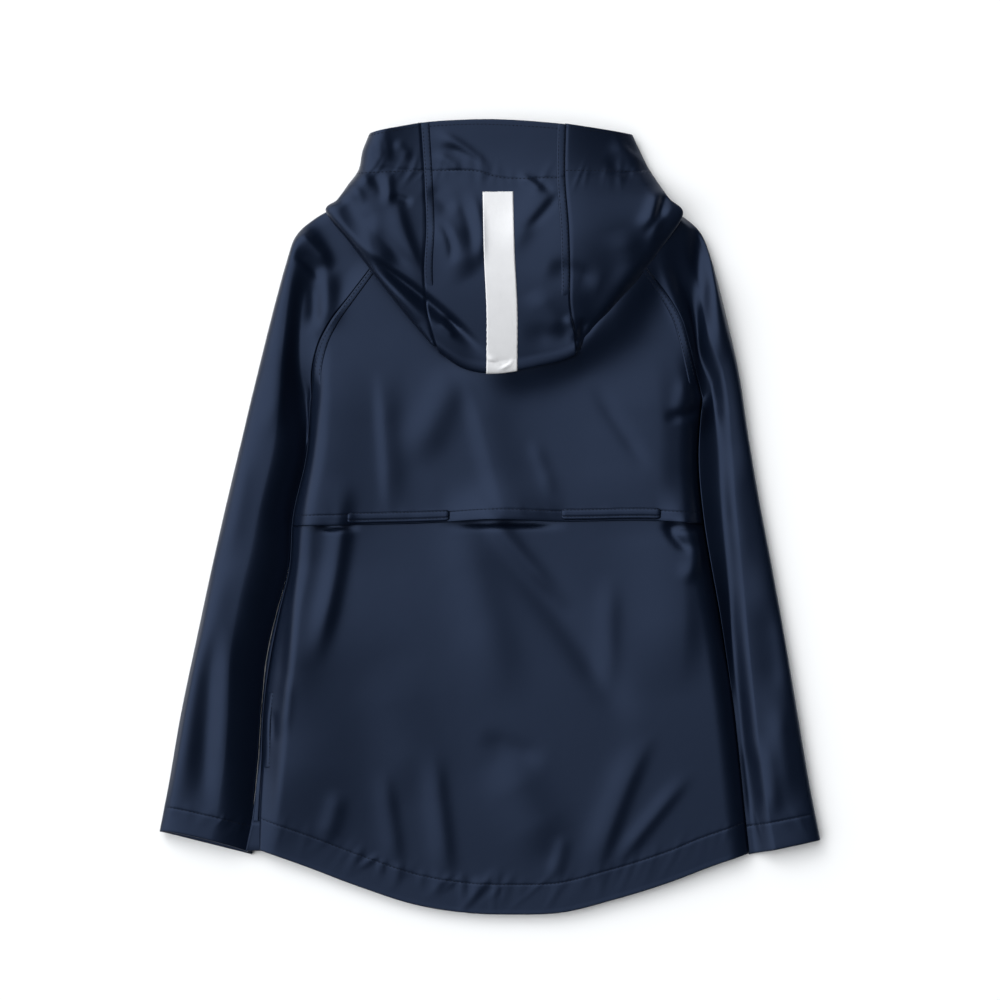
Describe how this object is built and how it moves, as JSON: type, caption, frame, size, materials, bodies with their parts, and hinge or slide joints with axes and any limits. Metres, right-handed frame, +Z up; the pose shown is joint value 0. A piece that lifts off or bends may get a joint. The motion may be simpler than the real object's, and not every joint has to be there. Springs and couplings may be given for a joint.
{
  "type": "kids raincoat",
  "caption": "Child's hooded raincoat in coated navy cloth, lying face down with its hood folded back; raglan sleeves, vented back cape, dropped curved hem and a reflective tape.",
  "frame": {"origin": "centre of the bounding box's base, on the surface that the coat's front lies on", "axes": "+X towards the wearer's right side, +Y from the hem to the hood, +Z up, out of the coat's back"},
  "size_m": [0.5277, 0.633, 0.0361],
  "materials": {
    "coated_navy": "smooth matt polyurethane coating with a broad soft sheen",
    "reflective_grey": "pale grey retroreflective tape, fine beaded texture",
    "stud_navy": "enamelled press-stud caps"
  },
  "bodies": {
    "root": {"front_left": "coated_navy", "front_right": "coated_navy", "front_placket": "coated_navy", "lower_back": "coated_navy", "back_cape": "coated_navy", "cape_bar_left": "coated_navy", "cape_bar_right": "coated_navy", "sleeve_left": "coated_navy", "sleeve_right": "coated_navy", "raglan_welt_left": "coated_navy", "raglan_welt_right": "coated_navy", "hood_middle": "coated_navy", "hood_left": "coated_navy", "hood_right": "coated_navy", "hood_welt_left": "coated_navy", "hood_welt_right": "coated_navy", "side_welt_left": "coated_navy", "reflective_tape": "reflective_grey", "press_stud_1": "stud_navy", "press_stud_2": "stud_navy", "press_stud_3": "stud_navy", "press_stud_4": "stud_navy", "press_stud_5": "stud_navy"}
  },
  "joints": []
}
